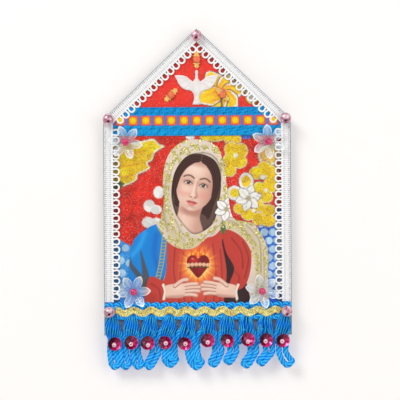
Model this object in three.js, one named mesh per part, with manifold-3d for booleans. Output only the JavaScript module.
// A hanging folk reliquary: a small gabled board covered with printed cloth, a paper picture,
// ribbon, picot braid, beads and acrylic flowers, with a yarn fringe along its foot.
// Millimetres, +Z up. The front faces -Y, and y = 0 is the wall that the back hangs against.
import * as THREE from "three";
import { mergeVertices } from "three/addons/utils/BufferGeometryUtils.js";
import Module from "manifold-3d";

const wasm = await Module();
wasm.setup();

// Running gap between pieces that don't lie flat on each other
const GAP = 0.3;

// Backing board: a house front, its gable above the shoulders
const BOARD_WIDTH = 100;
const WALL_HEIGHT = 115.2;
const GABLE_HEIGHT = 48.3;
const BOARD_THICKNESS = 3;

// Felt on the back, and the tape tab with the ring that hangs the plaque
const FELT_THICKNESS = 2.4;
const FELT_MARGIN = 5;
const FELT_DROP = 7;
const RING_WIRE = 1.2;
const RING_WIDTH = 13;
const RING_HEIGHT = 9.5;
const RING_CORNER = 1.2;
const RING_ABOVE_SHOULDER = 21;
const TAB_WIDTH = 7.5;
const TAB_LENGTH = 12;

// Printed cloth, paper picture and ribbon
const CLOTH_THICKNESS = 0.4;
const CLOTH_MARGIN = 1.2;
const CLOTH_FOOT = 7;
const CARD_THICKNESS = 0.5;
const CARD_WIDTH = 75.4;
const CARD_BELOW_RIBBON = 2.1;
const RIBBON_WIDTH = 15.3;
const RIBBON_ABOVE_SHOULDER = 6.4;
const RIBBON_THICKNESS = 0.5;
const SQUARE_SIZE = 5.4;
const SQUARE_PITCH = 6.8;
const SQUARE_RISE = 0.5;
const SQUARE_LIFT = 0.5;

// White braid: a ribbed band with a row of picot loops along its inner edge
const BAND_WIDTH = 5.2;
const PICOT_REACH = 3.6;
const PICOT_PITCH = 4.16;
const PICOT_CORD = 1.1;
const PICOT_SPACE = 0.24;
const PICOT_EYE_FOOT = 0.35;
const PICOT_EYE_SHOULDER = 0.4;
const BRAID_THICKNESS = 1;

// Yarn fringe: head, ten bundles tied under the sequins, and the loops below them
const HEAD_TOP = 17.3;
const HEAD_HEIGHT = 9.2;
const HEAD_THICKNESS = 1.8;
const HEAD_BUMP = 0.7;
const HEAD_BUMP_PITCH = 4.76;
const BUNDLE_WIDTH = 8.4;
const BUNDLE_NECK = 4.6;
const YARN_THICKNESS = 2.6;

// Sequins as sewn by hand: how far each strays from its bundle's middle, and lies below the board
const SEQUIN_STRAYS = [
  [1, 3.9], [0.2, 3.8], [-1.3, 4], [-2.1, 3.2], [-1.9, 3.7],
  [-0.1, 2.8], [0.6, 2.3], [0.8, 2.5], [0.1, 2.6], [-1.2, 2.5],
];

// Rope loops, one under each sequin, in rope diameters: how far the middle of the legs hangs to
// the right of the sequin, how far the foot leans on from there, the legs' spacing, the loop's
// drop, and how far it stands open at the foot
const ROPE = 2.8;
const SWING_LINE = 8;
const LOOPS = [
  { hang: 0.75, lean: 0.39, legs: 1.07, drop: 3.64, lobes: 2 },
  { hang: 0.68, lean: 0.54, legs: 1.07, drop: 3.61 },
  { hang: 1.39, lean: -1.14, legs: 1.21, drop: 3.68 },
  { hang: 0.79, lean: 0.07, legs: 1.93, drop: 3.32, open: 0.57 },
  { hang: 1.43, lean: 0.68, legs: 1.86, drop: 3.79, open: 0.5 },
  { hang: 2, lean: -0.86, legs: 1.21, drop: 3.32, open: 0.21 },
  { hang: 0.96, lean: -0.79, legs: 1.21, drop: 2.86 },
  { hang: 1.07, lean: -1.25, legs: 1.14, drop: 3.5 },
  { hang: 0.68, lean: -1.32, legs: 1.29, drop: 3.11, open: 0.21 },
  { hang: 0.07, lean: 0.93, legs: 1.29, drop: 3.43, open: 0.32 },
];
const LOBE_PITCH = 2 * ROPE;
const LOOP_EYE = 0.4;
const LOOP_STEPS = 10;
const ROPE_SIDES = 6;

// Gold ric-rac over the fringe's head
const RICRAC_WIDTH = 3.9;
const RICRAC_SWING = 0.97;
const RICRAC_PERIOD = 9.45;
const RICRAC_THICKNESS = 0.8;

// Cup sequins, seed beads and the larger beads
const SEQUIN_RADIUS = 3.7;
const SEQUIN_CUP = 1.5;
const SEQUIN_WALL = 0.35;
const SEQUIN_FLOOR = 1.3;
const SEQUIN_HOLE = 0.45;
const SEED_RADIUS = 1.5;
const CORNER_BEAD_RADIUS = 3.05;
const CORNER_BEAD_INSET = 2.9;
const FLOWER_BEAD_RADIUS = 2.05;
// A bead's flat foot and its dimple, as shares of its radius
const BEAD_FOOT = 0.5;
const BEAD_DIMPLE = 0.28;

// Acrylic flowers
const FLOWER_RADIUS = 9.4;
const FLOWER_PETALS = 6;
const FLOWER_WALL = 0.9;
const FLOWER_RIM_WALL = 0.55;
const FLOWER_FLARE = 0.45;
const FLOWER_NOTCH_RADIUS = 3.9;
const FLOWER_BOSS_RADIUS = 1.8;
const FLOWER_BOSS_HEIGHT = 0.9;
const TOP_FLOWER_INSET = 12;
const TOP_FLOWER_BELOW_RIBBON = 3.5;
const LOW_FLOWER_INSET = 15.8;
const LOW_FLOWER_ABOVE_HEAD = 6;

// Dove and gold charms. The dove fills the height between the ribbon and the top charm.
const DOVE_SPAN = 24;
const DOVE_THICKNESS = 1.6;
const DOVE_BEVEL = 0.3;
const DOVE_ABOVE_RIBBON = 0.9;
const LEAF_LENGTH = 2.8;
const LEAF_WIDTH = 3.8;
const ROSE_RADIUS = 2.1;
const CHARM_THICKNESS = 0.9;
const CHARM_BEVEL = 0.2;
const ROSE_RISE = 1.6;
const ROSE_ROUND = 0.5;
const TOP_CHARM_BELOW_APEX = 16.7;
const SIDE_CHARM_OUT = 13.8;
const SIDE_CHARM_ABOVE_RIBBON = 6.5;

// Places worked out from the sizes above. Depth is measured out from the wall.
const SHOULDER = WALL_HEIGHT / 2;
const FOOT = -WALL_HEIGHT / 2;
const HALF = BOARD_WIDTH / 2;
const APEX = SHOULDER + GABLE_HEIGHT;
const ROOF_ANGLE = Math.atan2(GABLE_HEIGHT, HALF);
const ROOF_LENGTH = Math.hypot(GABLE_HEIGHT, HALF);
const BOARD_BACK = FELT_THICKNESS;
const BOARD_FRONT = BOARD_BACK + BOARD_THICKNESS;
const CLOTH_FRONT = BOARD_FRONT + CLOTH_THICKNESS;
const CARD_FRONT = CLOTH_FRONT + CARD_THICKNESS;
const BRAID_FRONT = CLOTH_FRONT + BRAID_THICKNESS;
const HEAD_FRONT = CLOTH_FRONT + HEAD_THICKNESS;
const YARN_MIDDLE = CLOTH_FRONT + YARN_THICKNESS / 2;
const YARN_FRONT = CLOTH_FRONT + YARN_THICKNESS;
const BRAID_WIDTH = BAND_WIDTH + PICOT_REACH;
const HEAD_TOP_Z = FOOT + HEAD_TOP;
const HEAD_MIDDLE_Z = HEAD_TOP_Z - HEAD_HEIGHT / 2;
const SWING_Z = FOOT - SWING_LINE;
const RIBBON_TOP = SHOULDER + RIBBON_ABOVE_SHOULDER;
const RIBBON_FOOT = RIBBON_TOP - RIBBON_WIDTH;
const TOP_CHARM_Z = APEX - TOP_CHARM_BELOW_APEX;
const CHARM_REACH = ROSE_RADIUS + LEAF_LENGTH;
const DOVE_FOOT = RIBBON_TOP + DOVE_ABOVE_RIBBON;
const DOVE_HEIGHT = TOP_CHARM_Z - CHARM_REACH - GAP - DOVE_FOOT;
const BUNDLE_SPREAD = BOARD_WIDTH - BUNDLE_WIDTH;
const SEQUIN_PLACES = SEQUIN_STRAYS.map(([stray, below], index) => {
  const middle = (index / (SEQUIN_STRAYS.length - 1) - 0.5) * BUNDLE_SPREAD;
  return { middle, x: middle + stray, z: FOOT - below };
});
const RING_Z = SHOULDER + RING_ABOVE_SHOULDER;
const RING_DEPTH = FELT_THICKNESS / 2;
const PANEL_HALF = HALF - BRAID_WIDTH - GAP;

const FINISHES = {
  chipboard: { color: 0x6e7d8c, roughness: 0.95 },
  felt: { color: 0x8c1c22, roughness: 0.95 },
  tape: { color: 0x1d1d20, roughness: 0.9 },
  steel: { color: 0xb8bcc2, roughness: 0.3, metalness: 1 },
  print: { color: 0xd9412f, roughness: 0.6 },
  paper: { color: 0xd6c8a4, roughness: 0.5 },
  ribbon: { color: 0x0096e0, roughness: 0.6 },
  braid: { color: 0xf2f3f4, roughness: 0.75 },
  yarn: { color: 0x0a86dc, roughness: 0.9 },
  gold: { color: 0xd9b65a, roughness: 0.35, metalness: 0.9 },
  sequin: { color: 0xb8055a, roughness: 0.2, metalness: 0.3 },
  seed: { color: 0xf0c9d0, roughness: 0.2 },
  lustre: { color: 0xe0aebe, roughness: 0.15 },
  acrylic: { color: 0xdfeaf2, roughness: 0.1 },
  magenta: { color: 0xe00a5f, roughness: 0.2 },
  dove: { color: 0xf6f4ef, roughness: 0.5 },
  charm: { color: 0xe8a642, roughness: 0.35, metalness: 0.8 },
};

const part = new THREE.Group();

function add(name, geometry, finish) {
  const mesh = new THREE.Mesh(geometry, new THREE.MeshStandardMaterial(FINISHES[finish]));
  mesh.name = name;
  part.add(mesh);
}

// Pieces are drawn flat, x to the right, y up and z out from the wall, then stood up to face -Y.
function standUp(geometry, x = 0, height = 0, depth = 0, turn = 0) {
  return geometry.rotateZ(turn).translate(x, height, depth).rotateX(Math.PI / 2);
}

function outline(points) {
  return new THREE.Shape(points.map(([x, y]) => new THREE.Vector2(x, y)));
}

function plate(shape, thickness, bevel = 0) {
  return new THREE.ExtrudeGeometry(shape, {
    depth: thickness - 2 * bevel,
    steps: 1,
    curveSegments: 6,
    bevelEnabled: bevel > 0,
    bevelThickness: bevel,
    bevelSize: bevel,
    bevelOffset: -bevel,
    bevelSegments: 1,
  }).translate(0, 0, bevel);
}

function toSolid(geometry) {
  const bare = new THREE.BufferGeometry();
  bare.setAttribute("position", geometry.getAttribute("position").clone());
  if (geometry.index) bare.setIndex(geometry.index.clone());
  const merged = mergeVertices(bare, 1e-4);
  return new wasm.Manifold(new wasm.Mesh({
    numProp: 3,
    vertProperties: new Float32Array(merged.getAttribute("position").array),
    triVerts: new Uint32Array(merged.index.array),
  }));
}

function fromSolid(solid) {
  const mesh = solid.getMesh();
  const geometry = new THREE.BufferGeometry();
  geometry.setAttribute("position", new THREE.BufferAttribute(mesh.vertProperties, 3));
  geometry.setIndex(new THREE.BufferAttribute(mesh.triVerts, 1));
  geometry.computeVertexNormals();
  return geometry;
}

function join(geometries) {
  return fromSolid(geometries.map(toSolid).reduce((whole, next) => whole.add(next)));
}

function signedVolume(points, triangles) {
  let sum = 0;
  for (let i = 0; i < triangles.length; i += 3) {
    const [a, b, c] = triangles.slice(i, i + 3).map((index) => points[index]);
    sum += a.dot(b.clone().cross(c)) / 6;
  }
  return sum;
}

// A closed skin over a stack of rings with equal numbers of points, each end closed by a fan.
// It is turned to face outwards, whichever way the stack runs.
function loft(rings) {
  const count = rings[0].length;
  const points = rings.flat();
  const triangles = [];
  for (let ring = 0; ring + 1 < rings.length; ring += 1) {
    for (let i = 0; i < count; i += 1) {
      const a = ring * count + i;
      const b = ring * count + ((i + 1) % count);
      triangles.push(a, b, a + count, b, b + count, a + count);
    }
  }
  for (const [ring, flip] of [[0, true], [rings.length - 1, false]]) {
    const middle = new THREE.Vector3();
    rings[ring].forEach((point) => middle.addScaledVector(point, 1 / count));
    points.push(middle);
    for (let i = 0; i < count; i += 1) {
      const a = ring * count + i;
      const b = ring * count + ((i + 1) % count);
      triangles.push(...(flip ? [b, a] : [a, b]), points.length - 1);
    }
  }
  if (signedVolume(points, triangles) < 0) triangles.reverse();
  const geometry = new THREE.BufferGeometry().setFromPoints(points);
  geometry.setIndex(triangles);
  geometry.computeVertexNormals();
  return geometry;
}

function rope(points, diameter, steps, sides = ROPE_SIDES) {
  const section = new THREE.Shape();
  for (let i = 0; i < sides; i += 1) {
    const angle = (2 * Math.PI * i) / sides;
    const x = (diameter / 2) * Math.cos(angle);
    const y = (diameter / 2) * Math.sin(angle);
    if (i) section.lineTo(x, y);
    else section.moveTo(x, y);
  }
  const route = new THREE.CatmullRomCurve3(points, false, "centripetal");
  return new THREE.ExtrudeGeometry(section, { steps, extrudePath: route, bevelEnabled: false });
}

// A bead lying hole-up on a flat seat: flat foot, round side, and a dimple at the top
function bead(radius, segments) {
  const start = Math.asin(BEAD_FOOT);
  const end = Math.PI - Math.asin(BEAD_DIMPLE);
  const rise = radius * Math.cos(start);
  const profile = [new THREE.Vector2(0, 0), new THREE.Vector2(radius * BEAD_FOOT, 0)];
  const arcSteps = 4;
  for (let i = 1; i <= arcSteps; i += 1) {
    const angle = start + ((end - start) * i) / arcSteps;
    profile.push(new THREE.Vector2(radius * Math.sin(angle), rise - radius * Math.cos(angle)));
  }
  profile.push(new THREE.Vector2(0, rise - radius * (Math.cos(end) + BEAD_DIMPLE)));
  return new THREE.LatheGeometry(profile, segments).rotateX(Math.PI / 2);
}

function houseOutline(margin, foot) {
  const side = HALF - margin;
  // The roof's edge moves in by the margin, so its corners slide along the mitres.
  const roofDrop = margin / Math.cos(ROOF_ANGLE);
  const shoulder = SHOULDER + margin * Math.tan(ROOF_ANGLE) - roofDrop;
  return outline([
    [-side, foot], [side, foot], [side, shoulder], [0, APEX - roofDrop], [-side, shoulder],
  ]);
}

function makeBoard() {
  const board = plate(houseOutline(0, FOOT), BOARD_THICKNESS);
  add("backing_board", standUp(board, 0, 0, BOARD_BACK), "chipboard");
}

function makeFelt() {
  const half = HALF - FELT_MARGIN;
  const top = SHOULDER - FELT_DROP;
  const foot = FOOT + FELT_MARGIN;
  const sheet = plate(outline([[-half, foot], [half, foot], [half, top], [-half, top]]), FELT_THICKNESS);
  add("felt_back", standUp(sheet), "felt");
}

// The tape is folded round the ring's bar, so the tab's top is a round sleeve with a bore.
function makeHangerTab() {
  const radius = FELT_THICKNESS / 2;
  const section = new THREE.Shape();
  section.moveTo(-radius, -TAB_LENGTH);
  section.lineTo(radius, -TAB_LENGTH);
  section.lineTo(radius, 0);
  section.absarc(0, 0, radius, 0, Math.PI);
  section.closePath();
  const bore = new THREE.Path();
  bore.absarc(0, 0, RING_WIRE / 2 + GAP, 0, 2 * Math.PI, true);
  section.holes.push(bore);
  const tab = plate(section, TAB_WIDTH).translate(0, 0, -TAB_WIDTH / 2).rotateY(Math.PI / 2);
  add("hanger_tab", standUp(tab, 0, RING_Z, RING_DEPTH), "tape");
}

// A D-shaped wire ring: the straight bar runs through the tab, and the bow leans on the board.
function makeHangerRing() {
  const half = RING_WIDTH / 2;
  const corner = half - RING_CORNER;
  const bow = RING_HEIGHT - RING_CORNER;
  const points = [-half / 2, half / 2, corner].map((x) => new THREE.Vector3(x, 0, 0));
  const bowSteps = 8;
  for (let i = 0; i <= bowSteps; i += 1) {
    const angle = (Math.PI * i) / bowSteps;
    points.push(new THREE.Vector3(half * Math.cos(angle), RING_CORNER + bow * Math.sin(angle), 0));
  }
  points.push(new THREE.Vector3(-corner, 0, 0));
  const route = new THREE.CatmullRomCurve3(points, true, "centripetal");
  const room = FELT_THICKNESS - RING_DEPTH - RING_WIRE / 2 - GAP;
  const lean = Math.asin(room / RING_HEIGHT);
  const ring = new THREE.TubeGeometry(route, 28, RING_WIRE / 2, 6, true).rotateX(lean);
  add("hanger_ring", standUp(ring, 0, RING_Z, RING_DEPTH), "steel");
}

function makeCloth() {
  const sheet = plate(houseOutline(CLOTH_MARGIN, FOOT + CLOTH_FOOT), CLOTH_THICKNESS);
  add("printed_cloth", standUp(sheet, 0, 0, BOARD_FRONT), "print");
}

// The picture is cut out round the veil, the shoulders and the mantle.
function makeCard() {
  const half = CARD_WIDTH / 2;
  const foot = HEAD_TOP_Z + GAP + HEAD_BUMP;
  const height = RIBBON_FOOT - CARD_BELOW_RIBBON - foot;
  // From the right foot up, over the head and down the left side, in shares of the half width
  // and the height
  const edge = [
    [0.99, 0.15], [0.99, 0.31], [0.9, 0.41], [0.78, 0.48], [0.51, 0.51], [0.44, 0.64], [0.4, 0.78],
    [0.35, 0.89], [0.27, 0.96], [0.05, 1], [-0.19, 0.99], [-0.37, 0.93], [-0.46, 0.84], [-0.49, 0.72],
    [-0.47, 0.64], [-0.53, 0.5], [-0.68, 0.46], [-0.84, 0.41], [-0.93, 0.35], [-0.97, 0.22],
  ].map(([x, y]) => new THREE.Vector2(x * half, foot + y * height));
  const card = new THREE.Shape();
  card.moveTo(-half, foot);
  card.lineTo(half, foot);
  card.splineThru(edge);
  card.closePath();
  const geometry = new THREE.ExtrudeGeometry(card, {
    depth: CARD_THICKNESS, steps: 1, curveSegments: 3, bevelEnabled: false,
  });
  add("picture_card", standUp(geometry, 0, 0, CLOTH_FRONT), "paper");
}

// The ribbon runs from braid to braid, so its upper corners follow the roof's inner edge.
function makeRibbon() {
  const roofDrop = (BRAID_WIDTH + GAP) / Math.cos(ROOF_ANGLE);
  const roofAt = (x) => APEX - roofDrop - Math.abs(x) * Math.tan(ROOF_ANGLE);
  const topHalf = (APEX - roofDrop - RIBBON_TOP) / Math.tan(ROOF_ANGLE);
  const cut = outline([
    [-PANEL_HALF, RIBBON_FOOT], [PANEL_HALF, RIBBON_FOOT], [PANEL_HALF, roofAt(PANEL_HALF)],
    [topHalf, RIBBON_TOP], [-topHalf, RIBBON_TOP], [-PANEL_HALF, roofAt(PANEL_HALF)],
  ]);
  const thick = RIBBON_THICKNESS + SQUARE_RISE;
  const room = toSolid(plate(cut, thick));
  const row = RIBBON_FOOT + RIBBON_WIDTH / 2 + SQUARE_LIFT;
  const each = Math.round(PANEL_HALF / SQUARE_PITCH);
  const half = SQUARE_SIZE / 2;
  const square = outline([[-half, -half], [half, -half], [half, half], [-half, half]]);
  let band = toSolid(plate(cut, RIBBON_THICKNESS));
  for (let i = -each; i <= each; i += 1) {
    const block = plate(square, thick).translate(i * SQUARE_PITCH, row, 0);
    band = band.add(toSolid(block).intersect(room));
  }
  add("ribbon_band", standUp(fromSolid(band), 0, 0, CLOTH_FRONT), "ribbon");
}

// One straight length of braid. Its band starts at x, height and runs along the turn, mitred where
// two lengths meet, and its picots stand to the left of that way, which is inwards on the board.
function makeBraid(name, x, height, turn, length, startAngle, endAngle) {
  const slack = GAP / 2;
  const setBack = (angle, reach) => (angle === Math.PI ? 0 : reach / Math.tan(angle / 2)) + slack;
  const strip = new THREE.Shape();
  const first = setBack(startAngle, BRAID_WIDTH);
  const last = length - setBack(endAngle, BRAID_WIDTH);
  const count = Math.max(1, Math.floor((last - first) / PICOT_PITCH));
  const spare = (last - first - count * PICOT_PITCH) / 2;
  strip.moveTo(setBack(startAngle, 0), 0);
  strip.lineTo(length - setBack(endAngle, 0), 0);
  strip.lineTo(length - setBack(endAngle, BAND_WIDTH), BAND_WIDTH);
  const arcSteps = 4;
  const squareness = 0.6;
  for (let i = count - 1; i >= 0; i -= 1) {
    const middle = first + spare + (i + 0.5) * PICOT_PITCH;
    const half = (PICOT_PITCH - PICOT_SPACE) / 2;
    for (let k = 0; k <= arcSteps; k += 1) {
      const angle = (Math.PI * k) / arcSteps;
      const rise = PICOT_REACH * Math.sin(angle) ** squareness;
      strip.lineTo(middle + half * Math.cos(angle), BAND_WIDTH + rise);
    }
    const eye = new THREE.Path();
    const eyeHalf = half - PICOT_CORD;
    const eyeTop = BAND_WIDTH + PICOT_REACH - PICOT_CORD;
    const eyeShoulder = eyeTop - PICOT_EYE_SHOULDER;
    eye.moveTo(middle - eyeHalf, BAND_WIDTH + PICOT_EYE_FOOT);
    eye.lineTo(middle + eyeHalf, BAND_WIDTH + PICOT_EYE_FOOT);
    eye.lineTo(middle + eyeHalf, eyeShoulder);
    eye.lineTo(middle, eyeTop);
    eye.lineTo(middle - eyeHalf, eyeShoulder);
    eye.closePath();
    strip.holes.push(eye);
  }
  strip.lineTo(setBack(startAngle, BAND_WIDTH), BAND_WIDTH);
  strip.closePath();
  add(name, standUp(plate(strip, BRAID_THICKNESS), x, height, CLOTH_FRONT, turn), "braid");
}

function makeBraids() {
  const wallFoot = HEAD_TOP_Z + HEAD_BUMP + GAP;
  const wallLength = SHOULDER - wallFoot;
  const shoulderAngle = Math.PI / 2 + ROOF_ANGLE;
  const apexAngle = Math.PI - 2 * ROOF_ANGLE;
  const square = Math.PI;
  const up = Math.PI / 2;
  makeBraid("braid_right", HALF, wallFoot, up, wallLength, square, shoulderAngle);
  makeBraid("braid_roof_right", HALF, SHOULDER, Math.PI - ROOF_ANGLE, ROOF_LENGTH, shoulderAngle, apexAngle);
  makeBraid("braid_roof_left", 0, APEX, Math.PI + ROOF_ANGLE, ROOF_LENGTH, apexAngle, shoulderAngle);
  makeBraid("braid_left", -HALF, SHOULDER, -up, wallLength, shoulderAngle, square);
}

// The fringe's head: a flat band with rounded yarn bumps along both edges
function fringeHead() {
  const bumps = Math.round(BOARD_WIDTH / HEAD_BUMP_PITCH);
  const pitch = BOARD_WIDTH / bumps;
  const steps = bumps * 4;
  const points = [];
  const edge = (i) => HEAD_BUMP * (2 * Math.abs(Math.sin((Math.PI * i) / 4)) - 1);
  for (let i = 0; i <= steps; i += 1) {
    points.push([-HALF + (i * pitch) / 4, -HEAD_HEIGHT / 2 - edge(i)]);
  }
  for (let i = steps; i >= 0; i -= 1) {
    points.push([-HALF + (i * pitch) / 4, HEAD_HEIGHT / 2 + edge(i)]);
  }
  return plate(outline(points), HEAD_THICKNESS).translate(0, HEAD_MIDDLE_Z, CLOTH_FRONT);
}

// One bundle: it swells under the head, narrows to its neck and ends behind its sequin.
function bundle({ middle, x: neckX, z: neckZ }) {
  const topZ = HEAD_MIDDLE_Z - RICRAC_WIDTH / 2 - RICRAC_SWING - GAP;
  const sides = 8;
  const rings = [];
  // [share of the way down to the sequin, share of the bundle's width]
  const swell = [[0, 0.86], [0.4, 1], [0.72, 0.86], [0.92, 0.58], [1.12, 0.55]];
  for (const [share, width] of swell) {
    const half = Math.max(BUNDLE_NECK, BUNDLE_WIDTH * width) / 2;
    const x = middle + (neckX - middle) * share;
    const y = topZ + (neckZ - topZ) * share;
    const ring = [];
    for (let i = 0; i < sides; i += 1) {
      const angle = (-2 * Math.PI * i) / sides;
      const depth = YARN_MIDDLE + (YARN_THICKNESS / 2) * Math.sin(angle);
      ring.push(new THREE.Vector3(x + half * Math.cos(angle), y, depth));
    }
    rings.push(ring);
  }
  return loft(rings);
}

function nearestNeck(x) {
  const offs = SEQUIN_PLACES.map((place) => Math.abs(place.x - x));
  return SEQUIN_PLACES[offs.indexOf(Math.min(...offs))].x;
}

function legPlaces(loop, index) {
  const lobes = loop.lobes ?? 1;
  const places = [];
  for (let lobe = 0; lobe < lobes; lobe += 1) {
    const shift = (lobe - (lobes - 1) / 2) * LOBE_PITCH;
    const hang = SEQUIN_PLACES[index].x + loop.hang * ROPE + shift;
    const foot = hang + loop.lean * ROPE;
    const apart = (loop.legs * ROPE) / 2;
    places.push({ left: hang - apart, right: hang + apart, foot });
  }
  return places;
}

// Short fixed ropes that join the bundles' necks to the swinging loops
function fringeStubs() {
  const top = FOOT - SWING_LINE / 4;
  const end = SWING_Z + ROPE / 2 + GAP;
  const stubs = [];
  for (const places of LOOPS.map(legPlaces)) {
    for (const { left, right } of places) {
      for (const x of [left, right]) {
        const neckX = nearestNeck(x);
        const reach = Math.sign(neckX - x) * Math.max(0, Math.abs(neckX - x) - BUNDLE_NECK / 4);
        stubs.push(rope([
          new THREE.Vector3(x, end, YARN_MIDDLE),
          new THREE.Vector3(x, end + GAP, YARN_MIDDLE),
          new THREE.Vector3(x + reach, top, YARN_MIDDLE),
        ], ROPE, 2, 5));
      }
    }
  }
  return stubs;
}

function makeFringeHeader() {
  const bundles = SEQUIN_PLACES.map(bundle);
  const header = join([fringeHead(), ...bundles, ...fringeStubs()]);
  add("fringe_header", standUp(header), "yarn");
}

// A hanging loop of rope: down one leg, round the foot and up the other, with round ends
function makeLoop(loop, index) {
  const half = (ROPE + LOOP_EYE) / 2 + (loop.open ?? 0) * ROPE;
  // Shares of the way down to the foot: where the legs have drawn together, and where they turn
  const waist = 0.45;
  const turnStart = 0.9;
  const ends = [];
  const bodies = legPlaces(loop, index).map((place) => {
    const drop = (loop.drop - 0.5) * ROPE;
    const at = (x, down) => new THREE.Vector3(x, SWING_Z - down, YARN_MIDDLE);
    const mix = (top, low, share) => top + (low - top) * share;
    const leftLow = place.foot - half;
    const rightLow = place.foot + half;
    ends.push(place.left, place.right);
    return rope([
      at(place.left, 0),
      at(mix(place.left, leftLow, waist), drop * waist),
      at(leftLow, drop - half * turnStart),
      at(place.foot, drop),
      at(rightLow, drop - half * turnStart),
      at(mix(place.right, rightLow, waist), drop * waist),
      at(place.right, 0),
    ], ROPE, LOOP_STEPS);
  });
  for (const x of ends) {
    const knob = new THREE.SphereGeometry(ROPE / 2, ROPE_SIDES, 3);
    bodies.push(knob.translate(x, SWING_Z, YARN_MIDDLE));
  }
  const lobes = loop.lobes ?? 1;
  for (let lobe = 1; lobe < lobes; lobe += 1) {
    const from = ends[2 * lobe - 1];
    const to = ends[2 * lobe];
    bodies.push(rope([
      new THREE.Vector3(from, SWING_Z - ROPE / 4, YARN_MIDDLE),
      new THREE.Vector3(to, SWING_Z - ROPE / 4, YARN_MIDDLE),
    ], ROPE * 0.8, 1));
  }
  const number = String(index + 1).padStart(2, "0");
  add(`fringe_loop_${number}`, standUp(join(bodies)), "yarn");
}

function makeRicrac() {
  const reach = HALF - CORNER_BEAD_INSET - CORNER_BEAD_RADIUS - GAP;
  const steps = Math.round((2 * reach * 6) / RICRAC_PERIOD);
  const upper = [];
  const lower = [];
  for (let i = 0; i <= steps; i += 1) {
    const x = -reach + (2 * reach * i) / steps;
    const phase = (2 * Math.PI * (x + reach)) / RICRAC_PERIOD;
    const y = RICRAC_SWING * Math.cos(phase);
    lower.push([x, y - RICRAC_WIDTH / 2]);
    upper.unshift([x, y + RICRAC_WIDTH / 2]);
  }
  const braid = plate(outline([...lower, ...upper]), RICRAC_THICKNESS);
  add("ricrac", standUp(braid, 0, HEAD_MIDDLE_Z, HEAD_FRONT), "gold");
}

// A cup sequin is a thin dish with a flat floor, a hole for the thread and a flared wall.
function makeSequins() {
  const rim = SEQUIN_CUP + SEQUIN_WALL;
  const profile = [
    [SEQUIN_HOLE, 0], [SEQUIN_FLOOR, 0], [SEQUIN_RADIUS, SEQUIN_CUP], [SEQUIN_RADIUS, rim],
    [SEQUIN_FLOOR, SEQUIN_WALL], [SEQUIN_HOLE, SEQUIN_WALL], [SEQUIN_HOLE, 0],
  ].map(([x, y]) => new THREE.Vector2(x, y));
  SEQUIN_PLACES.forEach(({ x, z }, index) => {
    const number = String(index + 1).padStart(2, "0");
    const cup = new THREE.LatheGeometry(profile, 12).rotateX(Math.PI / 2);
    const depth = YARN_FRONT + GAP;
    add(`cup_sequin_${number}`, standUp(cup, x, z, depth), "sequin");
    const seat = depth + SEQUIN_WALL;
    add(`seed_bead_${number}`, standUp(bead(SEED_RADIUS, 8), x, z, seat), "seed");
  });
}

function makeCornerBeads() {
  const x = HALF - CORNER_BEAD_INSET;
  const low = HEAD_MIDDLE_Z;
  const apexInset = CORNER_BEAD_INSET / Math.cos(ROOF_ANGLE);
  const places = {
    apex: [0, APEX - apexInset, BRAID_FRONT],
    left_shoulder: [-x, SHOULDER, BRAID_FRONT],
    right_shoulder: [x, SHOULDER, BRAID_FRONT],
    left_foot: [-x, low, HEAD_FRONT],
    right_foot: [x, low, HEAD_FRONT],
  };
  for (const [name, [beadX, height, depth]] of Object.entries(places)) {
    const ball = bead(CORNER_BEAD_RADIUS, 12);
    add(`corner_bead_${name}`, standUp(ball, beadX, height, depth), "lustre");
  }
}

// A cupped acrylic flower: pointed petals that flare up from a small flat boss
function flower(turn) {
  const perPetal = 6;
  const count = perPetal * FLOWER_PETALS;
  const roundness = 0.8;
  const rim = (angle) => {
    const swell = Math.abs(Math.sin((angle * FLOWER_PETALS) / 2)) ** roundness;
    return FLOWER_NOTCH_RADIUS + (FLOWER_RADIUS - FLOWER_NOTCH_RADIUS) * swell;
  };
  const ring = (radiusAt, heightAt) => Array.from({ length: count }, (_, i) => {
    const angle = (-2 * Math.PI * i) / count;
    const radius = radiusAt(-angle);
    const x = radius * Math.cos(angle + turn);
    const y = radius * Math.sin(angle + turn);
    return new THREE.Vector3(x, y, heightAt(radius));
  });
  const under = (radius) => FLOWER_BOSS_HEIGHT + FLOWER_FLARE * Math.max(0, radius - FLOWER_BOSS_RADIUS);
  const boss = () => FLOWER_BOSS_RADIUS;
  return loft([
    ring(boss, () => 0),
    ring(boss, under),
    ring(rim, under),
    ring(rim, (radius) => under(radius) + FLOWER_RIM_WALL),
    ring(boss, (radius) => under(radius) + FLOWER_WALL),
  ]);
}

function makeFlowers() {
  const topX = HALF - TOP_FLOWER_INSET;
  const topZ = RIBBON_FOOT - TOP_FLOWER_BELOW_RIBBON;
  const lowX = HALF - LOW_FLOWER_INSET;
  const lowZ = HEAD_TOP_Z + LOW_FLOWER_ABOVE_HEAD;
  const places = {
    top_left: [-topX, topZ, CLOTH_FRONT, 0.35],
    top_right: [topX, topZ, CLOTH_FRONT, 0.1],
    foot_left: [-lowX, lowZ, CARD_FRONT, 0.6],
    foot_right: [lowX, lowZ, CARD_FRONT, 0.25],
  };
  const seat = FLOWER_BOSS_HEIGHT + FLOWER_WALL;
  for (const [name, [x, height, depth, turn]] of Object.entries(places)) {
    add(`flower_${name}`, standUp(flower(turn), x, height, depth), "acrylic");
    const ball = bead(FLOWER_BEAD_RADIUS, 10);
    add(`flower_bead_${name}`, standUp(ball, x, height, depth + seat), "magenta");
  }
}

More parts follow.
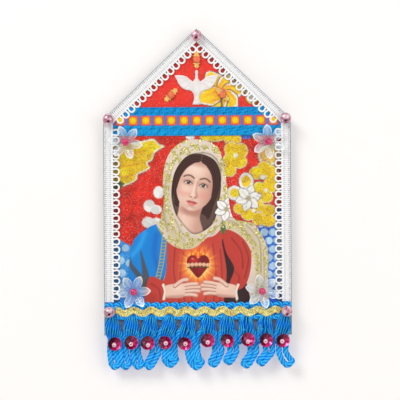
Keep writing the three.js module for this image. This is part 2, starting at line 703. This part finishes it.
// The dove hovers head up with its wings spread and its tail fanned downwards.
function makeDove() {
  const halfSpan = DOVE_SPAN / 2;
  const halfHeight = DOVE_HEIGHT / 2;
  // Right-hand outline from the head to the tail, in shares of the half span and the half height
  const side = [
    [0.08, 0.95], [0.08, 0.5], [0.19, 0.34], [0.34, 0.52], [0.51, 0.65], [1, 0.66], [0.9, 0.38],
    [0.77, 0.05], [0.57, -0.1], [0.35, -0.14], [0.16, -0.32], [0.11, -0.55], [0.18, -0.98],
  ];
  const points = [
    [0, 1], ...side, [0, -1], ...side.slice().reverse().map(([x, y]) => [-x, y]),
  ].map(([x, y]) => [x * halfSpan, y * halfHeight]);
  const bird = plate(outline(points), DOVE_THICKNESS, DOVE_BEVEL);
  add("dove", standUp(bird, 0, DOVE_FOOT + halfHeight, CLOTH_FRONT), "dove");
}

// A charm is two gold leaves, point outwards, with a rose between them. A leaf's curve is pulled
// towards a point beyond its widest place, so that it ends up as wide as it should be.
function charm() {
  const leaf = (direction) => {
    const start = (direction * ROSE_RADIUS) / 2;
    const end = direction * CHARM_REACH;
    const widest = start + (end - start) / 3;
    const shape = new THREE.Shape();
    shape.moveTo(start, 0);
    shape.quadraticCurveTo(widest, LEAF_WIDTH, end, 0);
    shape.quadraticCurveTo(widest, -LEAF_WIDTH, start, 0);
    return plate(shape, CHARM_THICKNESS, CHARM_BEVEL);
  };
  const top = CHARM_THICKNESS + ROSE_RISE;
  const bud = ROSE_RADIUS - ROSE_ROUND;
  const profile = [
    [0, 0], [ROSE_RADIUS, 0], [ROSE_RADIUS, CHARM_THICKNESS], [bud, top - ROSE_ROUND], [0, top],
  ].map(([x, y]) => new THREE.Vector2(x, y));
  const rose = new THREE.LatheGeometry(profile, 10).rotateX(Math.PI / 2);
  return join([leaf(1), leaf(-1), rose]);
}

function makeCharms() {
  const sideZ = RIBBON_TOP + SIDE_CHARM_ABOVE_RIBBON;
  const slope = Math.PI / 4;
  const places = {
    apex: [0, TOP_CHARM_Z, Math.PI / 2],
    left: [-SIDE_CHARM_OUT, sideZ, slope],
    right: [SIDE_CHARM_OUT, sideZ, -slope],
  };
  for (const [name, [x, height, turn]] of Object.entries(places)) {
    add(`charm_${name}`, standUp(charm(), x, height, CLOTH_FRONT, turn), "charm");
  }
}

makeBoard();
makeFelt();
makeHangerTab();
makeHangerRing();
makeCloth();
makeCard();
makeRibbon();
makeBraids();
makeFringeHeader();
LOOPS.forEach(makeLoop);
makeRicrac();
makeSequins();
makeCornerBeads();
makeFlowers();
makeDove();
makeCharms();

export default part;
